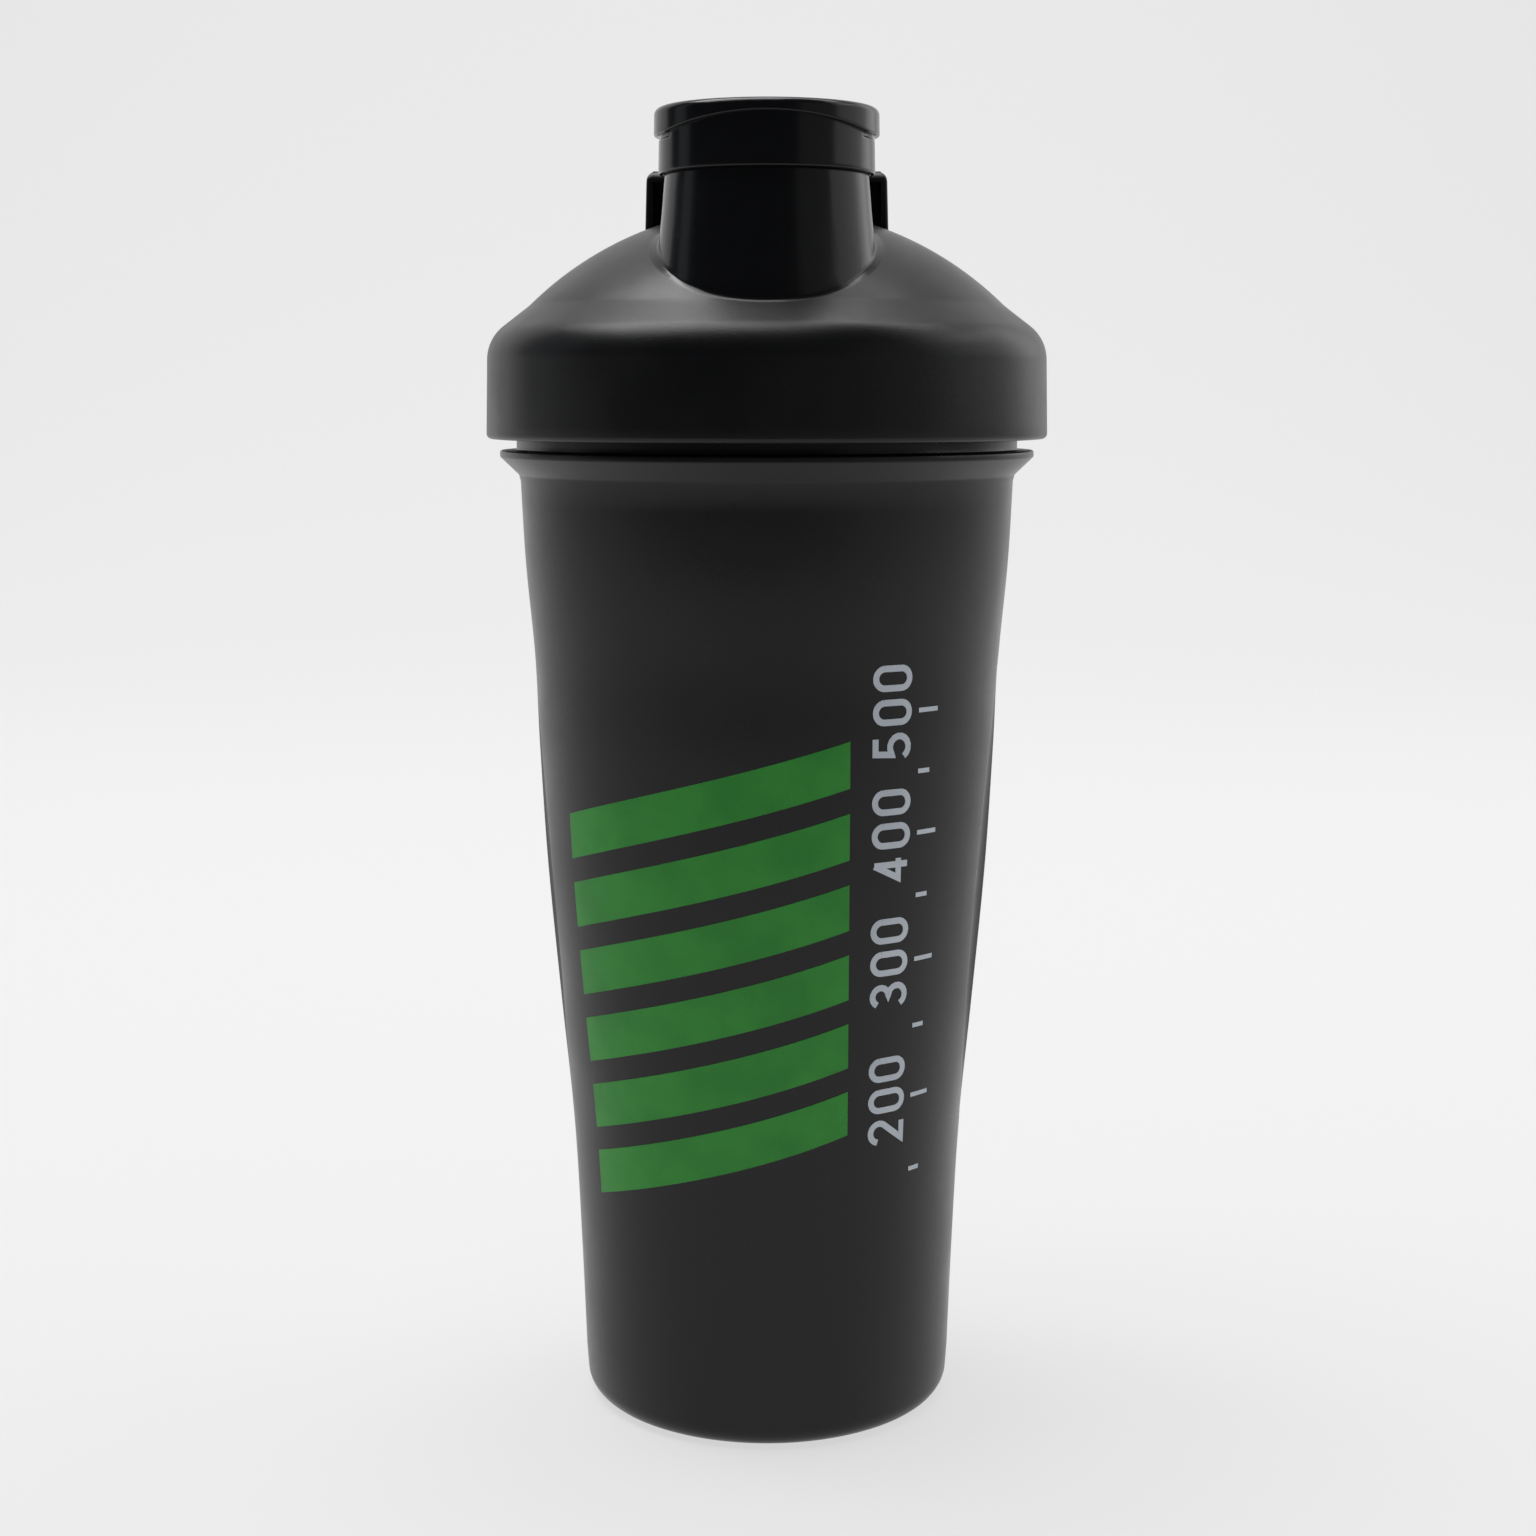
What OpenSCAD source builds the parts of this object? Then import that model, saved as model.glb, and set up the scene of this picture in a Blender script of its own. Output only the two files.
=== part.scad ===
/* [Cup] */
// Height of the cup's body, from the table to the underside of its collar
body_h = 168; // [145:1:185]
// Outer radius of the body just above the heel
base_r = 33.3; // [31:0.1:36]
// Outer radius of the body where it meets the collar
mouth_r = 43.5; // [42:0.1:44.5]
// Thickness of the body's wall
wall = 1.7; // [1.5:0.1:2]
// Thickness of the floor above the foot's recess
floor_t = 2.2; // [1.6:0.1:3]
// Radius of the rounded heel
heel_r = 4; // [3:0.5:5]
// Height of the recess inside the foot ring
foot_h = 1.2; // [0.8:0.1:2]

/* [Side grips] */
// Height of the grips' middle above the middle of the body
grip_up = 10; // [4:0.5:12]
// Length of the middle flute of a grip
grip_len = 84; // [70:1:90]
// Depth of the flutes
grip_depth = 1.2; // [0.6:0.1:1.3]
// Half of the angle between the two ribs of a grip
rib_angle = 7.5; // [6:0.5:8]

/* [Collar and neck] */
// How far the collar stands out past the body's top
collar_w = 3.5; // [2.8:0.1:4.5]
// Height of the collar's straight lip
collar_lip = 1.1; // [0.8:0.1:1.5]
// How far the neck stands out past the body's top, without its thread
neck_step = 0.6; // [0.3:0.1:0.9]
// Thickness of the neck's wall
neck_wall = 2.2; // [1.8:0.1:2.4]
// Height of the neck above the collar
neck_h = 16.1; // [15:0.1:18]

/* [Thread] */
// Height that the lid rises in one turn
lead = 10; // [9:0.5:12]
// Number of thread starts
starts = 2; // [1:1:2]
// Height of a ridge above its wall
ridge_h = 1.7; // [1.2:0.1:2]

/* [Lid] */
// Thickness of the lid's skirt
lid_wall = 2.4; // [2:0.1:3]
// Height of the gap between the collar and the lid's lower edge
lid_gap = 2; // [1:0.1:3]
// Radius of the shoulder's rounding
shoulder_r = 7.4; // [6:0.1:8.5]
// Angle at which the band between the shoulder and the crease falls
band_fall = 37.5; // [30:0.5:42]
// Distance of the crease inside the lid's lower edge
crease_in = 7.8; // [7.4:0.1:9]
// Height of the crease above the lid's ceiling, which presses on the seal
crease_up = 6.8; // [6.4:0.1:8]
// Height of the dome above the crease
dome_h = 16.9; // [15:0.1:18]
// Thickness of the dome
dome_t = 1.8; // [1.5:0.1:2.2]
// Thickness of the silicone sealing ring
seal_t = 2; // [1.5:0.1:2.5]

/* [Spout] */
// How far the spout's foot reaches past the crease
foot_over = 0.4; // [-1:0.1:0.6]
// Outer radius of the spout at its rim
rim_r = 16; // [14.5:0.1:17]
// How much wider the spout is just under the cap than at its rim
cap_flare = 0.8; // [0.6:0.1:1]
// How much wider the spout is half way down than at its rim
low_flare = 2.1; // [1.6:0.1:2.4]
// How much wider the spout's foot is than its rim
foot_flare = 3; // [2.6:0.1:3.4]
// Thickness of the spout's wall
spout_t = 1.4; // [1.2:0.1:1.6]
// Height of the spout's rim above the crease
rim_up = 24.7; // [23.5:0.1:26]

/* [Flip cap] */
// Thickness of the cap's skirt
cap_wall = 1; // [0.8:0.1:1.3]
// Depth of the cap's skirt below the spout's rim
cap_drop = 4.1; // [3.5:0.1:4.5]
// How far the disc on top of the cap stands out past the skirt
disc_lip = 0.7; // [0.5:0.1:1]
// Height of the disc's edge
disc_h = 4.4; // [4:0.1:5]
// Rise of the disc's crowned top above its edge
crown_h = 1; // [0.4:0.1:1.2]
// Half of the width of the thumb arch under the disc's front edge
arch_w = 12.2; // [10:0.1:13]
// Height of the thumb arch
arch_h = 2.4; // [1.5:0.1:2.6]

/* [Hinge] */
// Distance of the hinge's axis behind the disc's edge
hinge_back = 11.3; // [10:0.1:13]
// Radius of the hinge's pin
pin_r = 1.6; // [1.2:0.1:1.8]
// Radius of the knuckle on the cap's strap
knuckle_r = 3; // [2.8:0.1:3.1]
// Distance of the strap's sides inside the disc's
strap_in = 3.2; // [3:0.1:4.5]
// Thickness of each of the two ears
ear_t = 5; // [4.6:0.1:6]
// Height of the ears' tops above the hinge's axis
ear_up = 3.3; // [3:0.1:3.6]

/* [Mixing grid] */
// Depth of the grid's plate below the neck's rim
grid_drop = 12.5; // [11:0.5:14]
// Thickness of the grid's plate
grid_t = 1.6; // [1.2:0.1:2]
// Distance between two rings of the grid
ring_pitch = 5; // [4.5:0.5:6]

/* [Hidden] */
$fn = 96;
INK = "#2b2a2c";
EPS = 0.01;

fit_gap = 0.3;       // between parts that slide or turn past each other
pin_gap = 0.05;      // between the pin and the strap's bore
thread_gap = 1.1;    // between the neck's ridges and the lid's skirt
cap_gap = 0.1;       // between the cap's skirt and the spout
ear_gap = 0.5;       // between the strap and each ear
draft = 0.3;         // how much narrower the lid's skirt is at the shoulder than at its lower edge

// Radii, from the neck outwards and from the spout outwards
collar_r = mouth_r + collar_w;
neck_r = mouth_r + neck_step;
neck_in = neck_r - neck_wall;
skirt_in = neck_r + ridge_h + thread_gap;
lid_r = skirt_in + lid_wall;
crease_r = lid_r - crease_in;
plug_r = neck_in - fit_gap;
plug_in = plug_r - 1.6;
grid_r = plug_in - fit_gap;
spout_r = rim_r + cap_flare;
spout_low_r = rim_r + low_flare;
spout_foot_r = rim_r + foot_flare;
cap_r = spout_r + cap_gap + cap_wall;
disc_r = cap_r + disc_lip;

// Places along Y, from the crease back to the hinge, and half-widths along the hinge
spout_y = crease_r + foot_over - spout_foot_r;
hinge_y = disc_r + hinge_back - spout_y;
strap_w = disc_r - strap_in;
ear_in = strap_w + ear_gap;
ear_w = ear_in + ear_t;

// Heights of the whole bottle, from the table up
collar_rise = collar_w - 0.1;
collar_top = body_h + collar_rise + collar_lip;
rim_z = collar_top + neck_h;
plug_z = rim_z - 6.5;
grid_z = rim_z - grid_drop;
lid_z = collar_top + lid_gap;
ceiling_z = rim_z + seal_t;
crease_z = ceiling_z + crease_up;
dome_top_z = crease_z + dome_h;
spout_z = crease_z + rim_up;
cap_z = spout_z - cap_drop;
disc_z = spout_z + 2;
cap_top = disc_z + disc_h + crown_h;
hinge_z = dome_top_z + knuckle_r;
ear_top = hinge_z + ear_up;

// The dome is the sphere through the crease and the dome's top
dome_r = (crease_r * crease_r + dome_h * dome_h) / (2 * dome_h);
dome_z = dome_top_z - dome_r;
ear_foot_z = dome_at(norm([ear_w + 0.4, hinge_y + 6])) - 1.5;

// The shoulder's arc runs on smoothly from the band outside the crease
shoulder_x = lid_r - draft - shoulder_r;
band_r = shoulder_x + shoulder_r * sin(band_fall);
shoulder_z = crease_z - (band_r - crease_r) * tan(band_fall) - shoulder_r * cos(band_fall);

// Share of the taper reached at each share of the body's height
TAPER = [[0, 0], [0.16, 0.09], [0.3, 0.2], [0.44, 0.41], [0.59, 0.62],
         [0.72, 0.735], [0.81, 0.79], [0.91, 0.93], [1, 1]];

function slope(p, i) =
    let (a = max(i - 1, 0), b = min(i + 1, len(p) - 1)) (p[b].y - p[a].y) / (p[b].x - p[a].x);

function curve(p, x, i = 0) =
    i < len(p) - 2 && x > p[i + 1].x ? curve(p, x, i + 1) :
    let (h = p[i + 1].x - p[i].x, u = (x - p[i].x) / h)
    p[i].y * (2*u*u*u - 3*u*u + 1) + slope(p, i) * h * (u*u*u - 2*u*u + u)
    + p[i + 1].y * (3*u*u - 2*u*u*u) + slope(p, i + 1) * h * (u*u*u - u*u);

function body_r(z) = base_r + (mouth_r - base_r) * curve(TAPER, z / body_h);

// Points of an arc about (x, y) from angle a to angle b
function arc(x, y, r, a, b, n = 8) =
    [for (i = [0 : n]) let (t = a + (b - a) * i / n) [x + r * cos(t), y + r * sin(t)]];

// Height of the dome at a radius, for a dome thinned by t
function dome_at(r, t = 0) = dome_z + sqrt(pow(dome_r - t, 2) - r * r);

module at_hinge() translate([0, hinge_y, hinge_z]) rotate([0, 90, 0]) children();

module at_spout() translate([0, -spout_y, 0]) children();

// A YZ outline as a slab of half-width w about the middle plane
module slab(w) rotate([90, 0, 90]) translate([0, 0, -w]) linear_extrude(2 * w) children();

// Helical ridges that stand on a round wall: side is 1 outside the wall and -1 inside it
module thread(wall_r, side, low, high, phase = 0) {
    turns = (high - low) / lead;
    n = ceil(48 * turns);
    root = wall_r - side * 0.6;
    function fade(i) = min(1, 5 * min(i, n - i) / n * turns);
    function crest(i) = wall_r + side * (ridge_h * fade(i) - 0.2 * (1 - fade(i)));
    points = [for (i = [0 : n]) let (a = 360 * turns * i / n, z = low + lead * a / 360, c = crest(i))
        each [for (q = [[root, -1.2], [c, -0.55], [c, 0.55], [root, 1.2]])
            [q.x * cos(a), q.x * sin(a), z + q.y]]];
    faces = concat(
        side > 0 ? [[0, 2, 1], [0, 3, 2]] : [[0, 1, 2], [0, 2, 3]],
        side > 0 ? [[4*n, 4*n+1, 4*n+2], [4*n, 4*n+2, 4*n+3]] : [[4*n, 4*n+2, 4*n+1], [4*n, 4*n+3, 4*n+2]],
        [for (i = [0 : n - 1], k = [0 : 3]) let (a = 4*i + k, b = 4*i + (k + 1) % 4)
            each side > 0 ? [[a, b, b + 4], [a, b + 4, a + 4]] : [[a, b + 4, b], [a, a + 4, b + 4]]]);
    for (k = [0 : starts - 1]) rotate([0, 0, phase + k * 360 / starts]) polyhedron(points, faces);
}

// A long spindle that leans with the wall: its inner side cuts a flute as deep as depth at mid-height
module spindle(angle, len, radius, depth, extra = 0) {
    z = body_h / 2 + grip_up;
    wall_r = body_r(z);
    lean = atan((body_r(z + len / 3) - body_r(z - len / 3)) / (2 * len / 3));
    reach = 1.12;
    outline = [for (i = [-5 : 5]) let (u = reach * i / 5) [radius + extra - depth * u * u, u * len / 2]];
    rotate([0, 0, angle]) translate([wall_r + radius - depth, 0, z]) rotate([0, lean, 0])
        rotate_extrude() polygon(concat([[0, -reach * len / 2]], outline, [[0, reach * len / 2]]));
}

// The three flutes of both grips
module flutes(extra = 0)
    for (side = [0, 180]) {
        spindle(side, grip_len, 11, grip_depth, extra);
        for (k = [-1, 1]) spindle(side + k * 1.78 * rib_angle, 0.86 * grip_len, 9, 0.85 * grip_depth, extra);
    }

module cup_outer()
    rotate_extrude() polygon(concat(
        [[0, foot_h], [base_r - heel_r - 3.4, foot_h], [base_r - heel_r - 2, 0]],
        arc(base_r - heel_r, heel_r, heel_r, -90, 0, 6),
        [for (i = [1 : 22]) let (z = heel_r + (body_h - heel_r) * i / 22) [body_r(z), z]],
        [[collar_r, body_h + collar_rise], [collar_r, collar_top - 0.3], [collar_r - 0.3, collar_top]],
        [[neck_r, collar_top]],
        arc(neck_r - 0.7, rim_z - 0.7, 0.7, 0, 90, 3),
        [[0, rim_z]]));

module cup_inner()
    rotate_extrude() polygon(concat(
        [[0, foot_h + floor_t], [base_r - heel_r - 1, foot_h + floor_t]],
        arc(base_r - wall - 3, foot_h + floor_t + 3, 3, -75, 0, 4),
        [for (i = [1 : 22]) let (z = heel_r + 4 + (body_h - heel_r - 4) * i / 22) [body_r(z) - wall, z]],
        [[neck_in, collar_top], [neck_in, rim_z - 0.6], [neck_in + 0.6, rim_z + EPS], [0, rim_z + EPS]]));

module cup() color(INK) {
    difference() {
        cup_outer();
        flutes();
        difference() {
            cup_inner();
            flutes(wall);
        }
    }
    thread(neck_r, 1, collar_top + 3.2, rim_z - 2.4);
}

// Space under the dome, inside the plug ring
module lid_inside()
    rotate_extrude() polygon(concat(
        [[0, lid_z - 1], [plug_in, lid_z - 1], [plug_in, dome_at(plug_in, dome_t)]],
        [for (i = [1 : 12]) let (r = plug_in * (1 - i / 12)) [r, dome_at(r, dome_t)]]));

module lid_shell()
    rotate_extrude() polygon(concat(
        [[skirt_in, lid_z], [lid_r - 0.8, lid_z]],
        arc(lid_r - 0.8, lid_z + 0.8, 0.8, -60, 0, 3),
        arc(shoulder_x, shoulder_z, shoulder_r, 0, 90 - band_fall, 9),
        [for (i = [0 : 14]) let (r = crease_r * (1 - i / 14)) [r, dome_at(r)]],
        [for (i = [0 : 12]) let (r = plug_in * i / 12) [r, dome_at(r, dome_t)]],
        [[plug_in, plug_z], [plug_r - 0.6, plug_z], [plug_r, plug_z + 1], [plug_r, ceiling_z]],
        [[skirt_in, ceiling_z]]));

module spout_outer()
    at_spout() rotate_extrude() polygon(concat(
        [[0, ceiling_z + 0.5], [spout_foot_r, ceiling_z + 0.5], [spout_foot_r, cap_z - 20],
         [(spout_foot_r + spout_low_r) / 2 - 0.1, cap_z - 16.5],
         [spout_low_r, cap_z - 13], [spout_r, cap_z], [rim_r, spout_z - 0.6]],
        arc(rim_r - 0.5, spout_z - 0.5, 0.5, 0, 90, 3),
        [[0, spout_z]]));

module spout_bore()
    at_spout() rotate_extrude() polygon([
        [0, ceiling_z], [spout_low_r - spout_t - 0.4, ceiling_z],
        [spout_low_r - spout_t - 0.4, cap_z - 13], [rim_r - spout_t, spout_z - 2],
        [rim_r - spout_t, spout_z - 0.4], [rim_r - spout_t + 0.4, spout_z + EPS], [0, spout_z + EPS]]);

// Side outline of an ear, seen along the hinge
module ear_side()
    polygon(concat(
        [[hinge_y - 9, ear_foot_z], [hinge_y + 6, ear_foot_z]],
        arc(hinge_y + 1.5, ear_top - 4, 4, 0, 90), arc(hinge_y - 6.5, ear_top - 2, 2, 90, 180, 5)));

// Front outline of the right ear
module ear_front()
    polygon(concat(
        [[ear_in, ear_foot_z], [ear_w + 0.4, ear_foot_z]],
        arc(ear_w - 1.4, ear_top - 1.4, 1.4, 0, 90, 5),
        [[ear_in, ear_top]]));

module ears()
    for (side = [0, 1]) mirror([side, 0, 0]) difference() {
        intersection() {
            slab(ear_w + 1) ear_side();
            translate([0, hinge_y + 20, 0]) rotate([90, 0, 0]) linear_extrude(40) ear_front();
        }
        translate([ear_in + 1.3, hinge_y - 10, dome_at(ear_w) + 0.8])
            cube([ear_t - 2.5, 4.6, ear_top - dome_at(ear_w) - 2.6]);
    }

module lid() color(INK) {
    difference() {
        union() {
            lid_shell();
            difference() {
                union() {
                    spout_outer();
                    ears();
                }
                lid_inside();
            }
        }
        spout_bore();
        at_hinge() cylinder(h = 60, r = pin_r, center = true);
    }
    thread(skirt_in, -1, collar_top + 3.2, rim_z - 2.4, phase = 180 / starts);
}

module lid_seal() color("#8c9093")
    difference() {
        translate([0, 0, rim_z]) cylinder(h = seal_t, r = skirt_in - 0.5);
        translate([0, 0, rim_z - 1]) cylinder(h = seal_t + 2, r = plug_r + fit_gap);
    }

module ring(r, h, t)
    difference() {
        cylinder(h = h, r = r);
        translate([0, 0, -1]) cylinder(h = h + 2, r = r - t);
    }

module mixing_grid() color("#3a3b3e")
    translate([0, 0, grid_z]) {
        ring(grid_r, rim_z - grid_z - 0.5, 1.2);
        for (r = [ring_pitch : ring_pitch : grid_r - 2]) ring(r, grid_t, 1.4);
        intersection() {
            cylinder(h = grid_t, r = grid_r - 0.5);
            for (a = [0 : 45 : 135]) rotate([0, 0, a])
                translate([-grid_r, -0.8, 0]) cube([2 * grid_r, 1.6, grid_t]);
        }
    }

// The cap without its strap: disc, skirt and the plug that fills the spout's rim
module cap_body()
    at_spout() rotate_extrude() polygon(concat(
        [[cap_r - cap_wall + 0.1, cap_z], [cap_r, cap_z], [cap_r - 0.1, disc_z - 0.4], [disc_r, disc_z]],
        arc(disc_r - 1.2, disc_z + disc_h - 1.3, 1.2, 0, 80, 6),
        [for (i = [8 : -1 : 0]) let (r = (disc_r - 1.4) * i / 8) [r, cap_top - crown_h * pow(r / disc_r, 2)]],
        [[0, disc_z - 1], [rim_r - spout_t - 1.6, disc_z - 1],
         [rim_r - spout_t - 2.4, cap_z - 0.4], [rim_r - spout_t - 1.2, cap_z - 0.4],
         [rim_r - spout_t - 0.25, spout_z - 0.8], [rim_r - spout_t - 0.25, spout_z + 0.05],
         [cap_r - cap_wall, spout_z + 0.05]]));

// Curved strap from under the back of the disc down to the knuckle, as thick as the knuckle's radius
module strap_outline() {
    foot_z = hinge_z - 0.4;
    bend = disc_z + 0.2 - foot_z;
    front_y = 8 - spout_y;
    polygon(concat(
        arc(hinge_y - bend, foot_z, bend + knuckle_r, 0, 90, 10),
        [[front_y, foot_z + bend + knuckle_r], [front_y, foot_z + bend]],
        arc(hinge_y - bend, foot_z, bend, 90, 0, 10)));
}

module flip_cap() color(INK)
    difference() {
        union() {
            cap_body();
            difference() {
                union() {
                    slab(strap_w) strap_outline();
                    at_hinge() cylinder(h = 2 * strap_w, r = knuckle_r, center = true);
                }
                at_spout() translate([0, 0, cap_z - 10]) cylinder(h = disc_z - cap_z + 10, r = cap_r - 0.5);
            }
        }
        at_hinge() cylinder(h = 60, r = pin_r + pin_gap, center = true);
        thumb_arch();
    }

// What the thumb arch takes off the disc's front edge, down to the skirt's radius
module thumb_arch() {
    r = (arch_w * arch_w + arch_h * arch_h) / (2 * arch_h);
    difference() {
        translate([0, -spout_y - 10, disc_z + arch_h - r]) rotate([90, 0, 0]) cylinder(h = 20, r = r);
        at_spout() translate([0, 0, -1]) cylinder(h = cap_top + 10, r = cap_r - 0.1);
        translate([-50, -80, -1]) cube([100, 100, disc_z - 1.4]);
    }
}

module hinge_pin() color("#55585c")
    at_hinge() cylinder(h = 2 * ear_w - 0.4, r = pin_r, center = true);

cup();
lid();
lid_seal();
mixing_grid();
flip_cap();
hinge_pin();
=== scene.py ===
import math

import bpy
import numpy as np
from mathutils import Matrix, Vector


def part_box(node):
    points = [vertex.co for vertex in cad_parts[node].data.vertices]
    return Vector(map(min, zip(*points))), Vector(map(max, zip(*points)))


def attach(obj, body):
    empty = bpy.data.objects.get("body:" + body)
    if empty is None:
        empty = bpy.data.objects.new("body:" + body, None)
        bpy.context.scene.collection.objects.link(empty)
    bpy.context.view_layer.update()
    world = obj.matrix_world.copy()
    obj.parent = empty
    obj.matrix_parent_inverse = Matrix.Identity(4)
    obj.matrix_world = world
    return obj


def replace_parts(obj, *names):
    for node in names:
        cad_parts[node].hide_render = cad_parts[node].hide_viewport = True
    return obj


# Looks of the shaker bottle: smooth moulded shells over the CAD frame, printed ink and studio light.
# Shapes are worked out in millimetres, in the part's own frame: +Z up, -Y towards the spout.
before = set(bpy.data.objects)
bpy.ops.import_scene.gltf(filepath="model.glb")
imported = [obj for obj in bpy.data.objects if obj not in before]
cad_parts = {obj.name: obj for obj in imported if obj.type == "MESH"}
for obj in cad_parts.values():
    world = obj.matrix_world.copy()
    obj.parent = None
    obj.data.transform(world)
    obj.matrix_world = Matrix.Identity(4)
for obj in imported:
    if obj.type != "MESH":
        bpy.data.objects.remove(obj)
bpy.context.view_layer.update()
MM = 0.001
TURN = 2 * np.pi


def corners(node):
    """Lowest and highest corner of a CAD node, in millimetres."""
    low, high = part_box(node)
    return np.array(low) / MM, np.array(high) / MM


# ---------------------------------------------------------------- sizes, from the frame where it has them
CUP_HIGH = corners("cup")[1]
LID_LOW, LID_HIGH = corners("lid")
CAP_LOW, CAP_HIGH = corners("flip_cap")
SEAL_HIGH = corners("lid_seal")[1]
PIN_LOW, PIN_HIGH = corners("hinge_pin")

COLLAR_R = CUP_HIGH[0]
RIM_Z = CUP_HIGH[2]
NECK_H = 16.1
COLLAR_TOP = RIM_Z - NECK_H
COLLAR_LIP = 1.1
BASE_R, MOUTH_R = 33.3, 43.5
BODY_H = COLLAR_TOP - COLLAR_LIP - (COLLAR_R - MOUTH_R - 0.1)
WALL = 1.7
HEEL_R = 4.0
FOOT_H, FLOOR_T = 1.2, 2.2
NECK_R, NECK_IN = 44.1, 41.9
LEAD, STARTS, RIDGE_H = 10.0, 2, 1.7
THREAD_LOW, THREAD_HIGH = COLLAR_TOP + 3.2, RIM_Z - 2.4

GRIP_Z, GRIP_HALF, GRIP_ANGLE, RIB_ANGLE = 94.0, 43.5, 19.0, 7.5
FLUTE_DEPTH = 1.35
GRIP_TURN = 2.3

LID_R = LID_HIGH[0]
LID_Z, SPOUT_Z = LID_LOW[2], LID_HIGH[2]
CEILING_Z = SEAL_HIGH[2]
SKIRT_IN = NECK_R + RIDGE_H + 1.1
PLUG_R, PLUG_IN, PLUG_Z = NECK_IN - 0.3, NECK_IN - 1.9, RIM_Z - 6.5
CREASE_R = 41.5
CREASE_Z = CEILING_Z + 6.8
DOME_H, DOME_T = 16.9, 1.8
DOME_R = (CREASE_R**2 + DOME_H**2) / (2 * DOME_H)
DOME_Z = CREASE_Z + DOME_H - DOME_R
BAND_FALL = math.radians(37.5)
SHOULDER_R = 7.4
SHOULDER_X = LID_R - 0.3 - SHOULDER_R
BAND_R = SHOULDER_X + SHOULDER_R * math.sin(BAND_FALL)

DISC_R = CAP_HIGH[0]
SPOUT_Y = -CAP_LOW[1] - DISC_R
RIM_R, SPOUT_R, SPOUT_LOW_R, SPOUT_FOOT_R, SPOUT_T = 16.0, 16.8, 18.1, 19.0, 1.4
CAP_Z = SPOUT_Z - 4.1
CAP_R = 17.9
DISC_Z, CAP_TOP = SPOUT_Z + 2, CAP_HIGH[2]
CROWN_H = 1.0
ARCH_W, ARCH_H = 16.6, 2.4

HINGE_Y, HINGE_Z = (PIN_LOW[1:] + PIN_HIGH[1:]) / 2
PIN_R = (PIN_HIGH[2] - PIN_LOW[2]) / 2
KNUCKLE_BORE = PIN_R + 0.05
STRAP_W, EAR_W, EAR_TOP = 15.4, 20.9, HINGE_Z + 3.3
KNUCKLE_R, STRAP_BEND, STRAP_T = 3.0, 7.4, 3.0

TAPER = np.array([[0, 0], [0.16, 0.09], [0.3, 0.2], [0.44, 0.41], [0.59, 0.62],
                  [0.72, 0.735], [0.81, 0.79], [0.91, 0.93], [1, 1]])


# ---------------------------------------------------------------- mesh building
def make_piece(name, points, material, body, wrap_rows=False, wrap_cols=True, poles=(None, None), sharp=40):
    """A mesh object from a grid of points (rows, columns, 3) in millimetres.

    Face (i, j) joins grid points (i, j), (i, j+1), (i+1, j+1), (i+1, j). Each pole is a point that
    closes the first or the last row with a fan of triangles.
    """
    rows, cols = points.shape[:2]
    i, j = np.meshgrid(np.arange(rows - (not wrap_rows)), np.arange(cols - (not wrap_cols)), indexing="ij")
    right, up = (j + 1) % cols, (i + 1) % rows
    quads = np.stack([i * cols + j, i * cols + right, up * cols + right, up * cols + j], -1).reshape(-1, 4)
    faces = quads.tolist()
    coords = points.reshape(-1, 3)
    ring = np.arange(cols)
    for pole, start, order in ((poles[0], 0, 1), (poles[1], (rows - 1) * cols, -1)):
        if pole is not None:
            tip = len(coords)
            coords = np.vstack([coords, pole])
            fan = np.stack([np.full(cols, tip), start + (ring + 1) % cols, start + ring], -1)
            faces += fan[:, ::order].tolist()
    mesh = bpy.data.meshes.new(name)
    mesh.from_pydata(coords * MM, [], faces)
    mesh.validate()
    return finish_piece(name, mesh, material, body, sharp)


def make_patches(name, patches, material, body):
    """One mesh from several open grids of points, each with its own faces as in make_piece."""
    coords, faces, used = [], [], 0
    for points in patches:
        rows, cols = points.shape[:2]
        i, j = np.meshgrid(np.arange(rows - 1), np.arange(cols - 1), indexing="ij")
        corner = used + i * cols + j
        faces.append(np.stack([corner, corner + 1, corner + cols + 1, corner + cols], -1).reshape(-1, 4))
        coords.append(points.reshape(-1, 3))
        used += rows * cols
    mesh = bpy.data.meshes.new(name)
    mesh.from_pydata(np.vstack(coords) * MM, [], np.vstack(faces).tolist())
    return finish_piece(name, mesh, material, body)


def finish_piece(name, mesh, material, body, sharp=40):
    """Smooth shading with edges kept crisp above an angle, a material and a body to ride on."""
    mesh.polygons.foreach_set("use_smooth", np.ones(len(mesh.polygons), bool))
    mesh.set_sharp_from_angle(angle=math.radians(sharp))
    mesh.materials.append(material)
    piece = bpy.data.objects.new(name, mesh)
    bpy.context.scene.collection.objects.link(piece)
    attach(piece, body)
    return piece


def arc(x, z, radius, start, end, n=6):
    """Points (x + r cos a, z + r sin a) for n+1 angles a from start to end, in degrees."""
    a = np.radians(np.linspace(start, end, n + 1))
    return np.stack([x + radius * np.cos(a), z + radius * np.sin(a)], -1)


def line(start, end, n=1):
    """n+1 evenly spaced points from start to end."""
    return np.linspace(start, end, n + 1)


def chain(*parts):
    """One outline from several, without the points that repeat where they join."""
    points = np.vstack([np.atleast_2d(p) for p in parts])
    step = np.linalg.norm(np.diff(points, axis=0), axis=1)
    return points[np.concatenate([[True], step > 1e-6])]


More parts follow.
